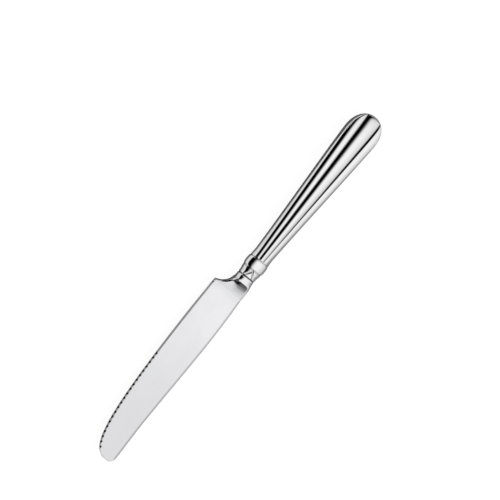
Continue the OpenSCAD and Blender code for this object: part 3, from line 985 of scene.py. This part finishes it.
def make_seam():
    """Thin braze between the halves, from the mouth round the butt and back."""

    def path(skin, end, recess):
        spine = skin[:, 0, :2] - np.array([0, recess])
        edge = skin[::-1, -1, :2] + np.array([0, recess])
        return np.concatenate([spine, [[end, 0]], edge])

    out_line = path(outer, SEAM_RECESS - HANDLE_L, SEAM_RECESS)
    in_line = path(inner, WALL - HANDLE_L, 0)
    n = len(out_line)
    lines = [(out_line, SEAM_Z), (in_line, SEAM_Z), (in_line, -SEAM_Z), (out_line, -SEAM_Z)]
    points = np.concatenate([np.column_stack([line, np.full(n, z)]) for line, z in lines])
    numbers = [list(range(k * n, (k + 1) * n)) for k in range(len(lines))]
    faces = []
    for row, next_row in zip(numbers, numbers[1:] + numbers[:1]):
        faces += strip_faces(row, next_row)
    faces += [[row[0] for row in numbers[::-1]], [row[-1] for row in numbers]]
    add_piece("seam_line", points, faces, braze, "seam_braze")


make_blade()
make_half("handle_front", "handle_half_front", 1)
make_half("handle_back", "handle_half_back", -1)
make_seam()

for node, material in (("solder_ring", solder), ("handle_filler", cement)):
    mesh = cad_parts[node].data
    mesh.materials.clear()
    mesh.materials.append(material)


# Floor: pale, white to the camera, with the knife's soft shadow kept on it, and a painted shadow near
# the knife where the steel mirrors it

FLOOR_R = 6.0
FLOOR_TURNS = 96
FLOOR_COLOUR = (0.9, 0.9, 0.9, 1.0)
FLOOR_GLOW = 1.08
GLOW_SHARE = 0.87
# Painted shadow on the floor as the steel mirrors it: the floor's tone near the knife and far on the
# edge side
MIRRORED_FLOOR_SHADE = (0.32, 0.85)
MIRRORED_SHADE_FADE = (0.008, 0.024)


def make_floor():
    turns = np.linspace(0, 2 * math.pi, FLOOR_TURNS, endpoint=False)
    mesh = bpy.data.meshes.new("floor")
    rim = [(FLOOR_R * math.cos(a), FLOOR_R * math.sin(a), 0.0) for a in turns]
    mesh.from_pydata(rim, [], [list(range(len(rim)))])
    material = bpy.data.materials.new("pale_floor")
    material.use_nodes = True
    nodes = Nodes(material.node_tree)
    path = nodes.add("ShaderNodeLightPath")
    # Painted shadow: to glossy rays the floor is darker near the knife
    edge_side = nodes.math("MULTIPLY", nodes.split(nodes.place())["Y"], -1.0)
    mirrored_shade = nodes.span(edge_side, *MIRRORED_SHADE_FADE, *MIRRORED_FLOOR_SHADE, style="SMOOTHSTEP")
    diffuse = nodes.add("ShaderNodeBsdfDiffuse")
    shade = nodes.blend(path.outputs["Is Glossy Ray"], FLOOR_COLOUR, mirrored_shade)
    nodes.link(shade, diffuse.inputs["Color"])
    glow = nodes.add("ShaderNodeEmission")
    glow.inputs["Strength"].default_value = FLOOR_GLOW
    share = nodes.math("MULTIPLY", path.outputs["Is Camera Ray"], GLOW_SHARE)
    mixed = nodes.add("ShaderNodeMixShader")
    output = nodes.add("ShaderNodeOutputMaterial")
    nodes.link(share, mixed.inputs[0])
    nodes.link(diffuse.outputs[0], mixed.inputs[1])
    nodes.link(glow.outputs[0], mixed.inputs[2])
    nodes.link(mixed.outputs[0], output.inputs["Surface"])
    mesh.materials.append(material)
    floor = bpy.data.objects.new("floor", mesh)
    bpy.context.scene.collection.objects.link(floor)


make_floor()


# Studio: a wide soft light over the knife and towards its spine, dark above the side of the edge,
# and a white card that stands low on that side

RIGHT_ANGLE = 90.0
# The light is longer than wide, so this share of a direction's run along the knife counts
LIGHT_SQUEEZE = 0.35
LIGHT_TILT = math.radians(40)
# Brightness by the angle from the light's middle
LIGHT_STOPS = ((45, 1.06), (52, 0.9), (58, 0.65), (63, 0.34), (68, 0.09), (72, 0.0))
# The light falls off towards the tip, and less towards the butt and towards the spine side
BUTT_END_STOPS = ((-1.0, 0.5), (-0.92, 0.68), (-0.8, 0.82), (-0.65, 0.88), (-0.4, 0.94), (0.0, 1.0))
TIP_END_STOPS = ((0.27, 0.95), (0.5, 0.85), (0.7, 0.68), (0.85, 0.27), (0.9, 0.125), (0.95, 0.095))
SPINE_SIDE_STOPS = ((0.4, 1.0), (0.6, 0.95), (0.75, 0.87), (0.88, 0.78), (0.96, 0.62), (1.0, 0.4))
# Brightness of the card by the angle above the floor, and how it fades out at its ends
CARD_STOPS = ((0, 0.95), (12, 0.9), (17, 0.75), (22, 0.35), (26, 0.06), (29, 0.0))
CARD_SIDES = (0.34, 0.77)
LAMP_PLACE = Vector((0.0, 0.8, 1.0))
LAMP_SIZE = 0.8
LAMP_POWER = 8.0


def make_studio():
    world = bpy.data.worlds.new("studio")
    bpy.context.scene.world = world
    world.use_nodes = True
    nodes = Nodes(world.node_tree)
    coords = nodes.add("ShaderNodeTexCoord")
    unit = nodes.vector_math("NORMALIZE", coords.outputs["Generated"])
    along, spine_side, up = nodes.split(unit)

    squeezed = nodes.vector_math("MULTIPLY", unit, (LIGHT_SQUEEZE, 1.0, 1.0))
    light_axis = (0.0, math.sin(LIGHT_TILT), math.cos(LIGHT_TILT))
    near = nodes.vector_math("DOT_PRODUCT", nodes.vector_math("NORMALIZE", squeezed), light_axis)
    away = nodes.math("DEGREES", nodes.math("ARCCOSINE", near))
    light = nodes.ramp(away, LIGHT_STOPS, RIGHT_ANGLE)
    light = nodes.math("MULTIPLY", light, nodes.ramp(spine_side, SPINE_SIDE_STOPS, 1.0))
    light = nodes.math("MULTIPLY", light, nodes.ramp(along, BUTT_END_STOPS + TIP_END_STOPS, 1.0, -1.0))

    level = nodes.math("SQRT", nodes.math("SUBTRACT", 1.0, nodes.math("MULTIPLY", up, up), clamp=True))
    edge_side = nodes.math("DIVIDE", nodes.math("MULTIPLY", spine_side, -1.0), level)
    height = nodes.math("DEGREES", nodes.math("ARCSINE", up))
    card = nodes.ramp(height, CARD_STOPS, RIGHT_ANGLE)
    card = nodes.math("MULTIPLY", card, nodes.span(edge_side, *CARD_SIDES, style="SMOOTHSTEP"))

    studio = nodes.add("ShaderNodeBackground")
    nodes.link(nodes.math("MAXIMUM", light, card), studio.inputs["Color"])
    white = nodes.add("ShaderNodeBackground")
    white.inputs["Color"].default_value = (1.0, 1.0, 1.0, 1.0)
    path = nodes.add("ShaderNodeLightPath")
    mixed = nodes.add("ShaderNodeMixShader")
    output = nodes.add("ShaderNodeOutputWorld")
    nodes.link(path.outputs["Is Camera Ray"], mixed.inputs[0])
    nodes.link(studio.outputs[0], mixed.inputs[1])
    nodes.link(white.outputs[0], mixed.inputs[2])
    nodes.link(mixed.outputs[0], output.inputs["Surface"])


def make_lamp():
    """Lamp on the spine side that gives the knife its shadow."""
    data = bpy.data.lights.new("floor_lamp", "AREA")
    data.shape = "DISK"
    data.size = LAMP_SIZE
    data.energy = LAMP_POWER
    lamp = bpy.data.objects.new("floor_lamp", data)
    lamp.location = LAMP_PLACE
    lamp.rotation_mode = "QUATERNION"
    lamp.rotation_quaternion = (-LAMP_PLACE).to_track_quat("-Z", "Y")
    lamp.visible_glossy = False
    bpy.context.scene.collection.objects.link(lamp)


make_studio()
make_lamp()


# Camera: nearly overhead, a little towards the cutting edge, with the tip to the lower left

VIEW_TILT = math.radians(11.5)
VIEW_TURN = math.radians(51.1)
VIEW_WIDTH = 0.2409
VIEW_DISTANCE = 1.0
# Place of the picture's middle, from the joint
VIEW_RIGHT = 1.926
VIEW_UP = 12.92
SENSOR_WIDTH = 36.0
CLIP = (0.05, 50.0)


def make_camera():
    back = Vector((0, -math.sin(VIEW_TILT), math.cos(VIEW_TILT)))
    tip = Vector((1, 0, 0))
    spine = back.cross(tip)
    right = -math.cos(VIEW_TURN) * tip + math.sin(VIEW_TURN) * spine
    up = -math.sin(VIEW_TURN) * tip - math.cos(VIEW_TURN) * spine
    target = Vector(JOINT) + (VIEW_RIGHT * right + VIEW_UP * up) * MM
    data = bpy.data.cameras.new("camera")
    data.sensor_width = SENSOR_WIDTH
    data.lens = SENSOR_WIDTH * VIEW_DISTANCE / VIEW_WIDTH
    data.clip_start, data.clip_end = CLIP
    camera = bpy.data.objects.new("camera", data)
    turn = Matrix((right, up, back)).transposed().to_4x4()
    camera.matrix_world = Matrix.Translation(target + VIEW_DISTANCE * back) @ turn
    bpy.context.scene.collection.objects.link(camera)
    bpy.context.scene.camera = camera


make_camera()
bpy.context.scene.view_settings.view_transform = "Standard"
